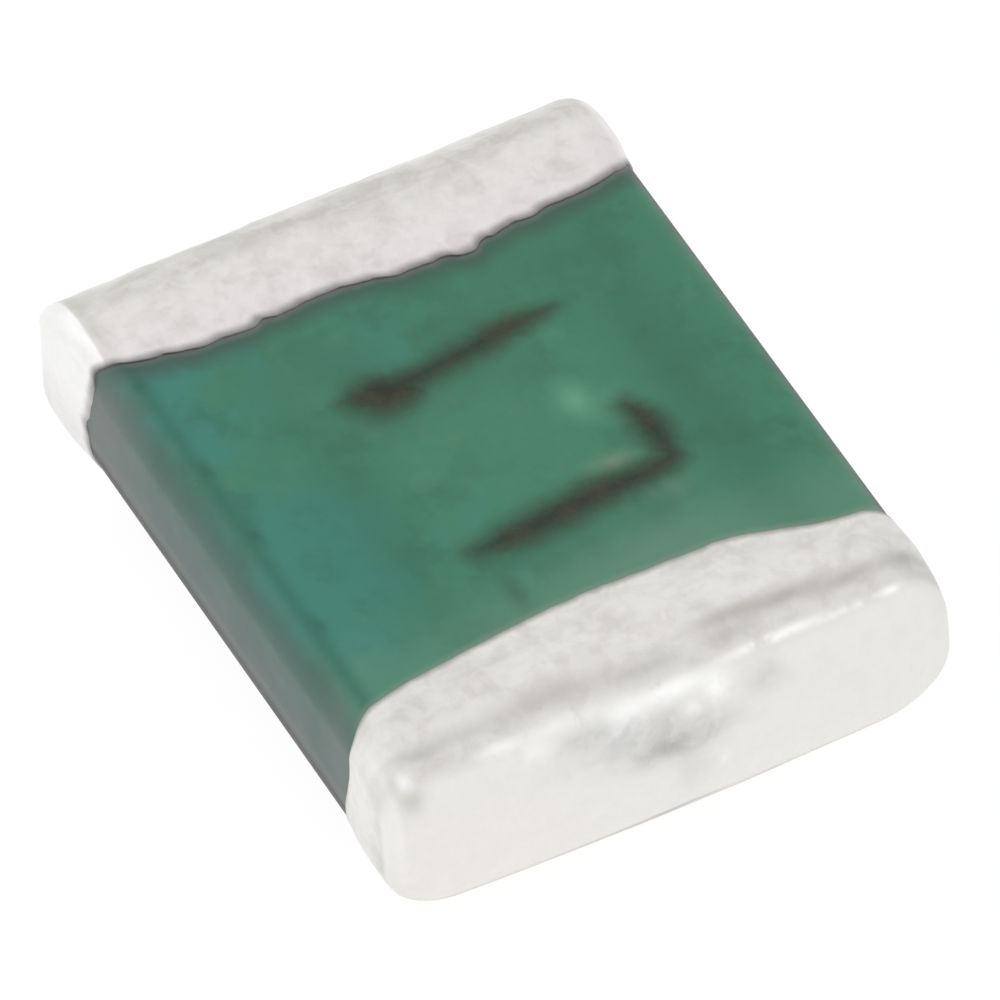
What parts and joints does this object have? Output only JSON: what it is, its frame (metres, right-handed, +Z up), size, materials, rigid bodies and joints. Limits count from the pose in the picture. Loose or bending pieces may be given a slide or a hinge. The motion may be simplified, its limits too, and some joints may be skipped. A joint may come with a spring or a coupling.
{
  "type": "chip mica capacitor",
  "caption": "Flat rectangular surface-mount chip: a coated mica stack with a metal cup dipped over each end, for soldering to two pads.",
  "frame": {"origin": "middle of the underside, on the plane that the two end cups stand on", "axes": "+X along the length to the near end cup, +Y across the width, +Z up out of the marked face"},
  "size_m": [0.0032, 0.0024, 0.0009],
  "materials": {
    "green_coat": "mottled green resin coat, half gloss",
    "grey_seal": "smooth grey resin, half gloss",
    "mica": "cleaved mica sheet",
    "silver_film": "screened silver film",
    "fired_silver": "fired silver paste, matte",
    "nickel_plate": "electroplated nickel",
    "tin_plate": "satin tin, slightly lumpy from the dipped paste under it",
    "ink": "dark brown marking ink"
  },
  "bodies": {
    "root": {"top_coat": "green_coat", "bottom_coat": "green_coat", "left_seal": "grey_seal", "right_seal": "grey_seal", "lower_cover_sheet": "mica", "mica_sheet_1": "mica", "mica_sheet_2": "mica", "mica_sheet_3": "mica", "mica_sheet_4": "mica", "mica_sheet_5": "mica", "mica_sheet_6": "mica", "upper_cover_sheet": "mica", "electrode_1": "silver_film", "electrode_2": "silver_film", "electrode_3": "silver_film", "electrode_4": "silver_film", "electrode_5": "silver_film", "electrode_6": "silver_film", "electrode_7": "silver_film", "near_silver": "fired_silver", "near_nickel": "nickel_plate", "near_tin": "tin_plate", "far_silver": "fired_silver", "far_nickel": "nickel_plate", "far_tin": "tin_plate", "footed_stroke": "ink", "hooked_stroke": "ink"}
  },
  "joints": []
}
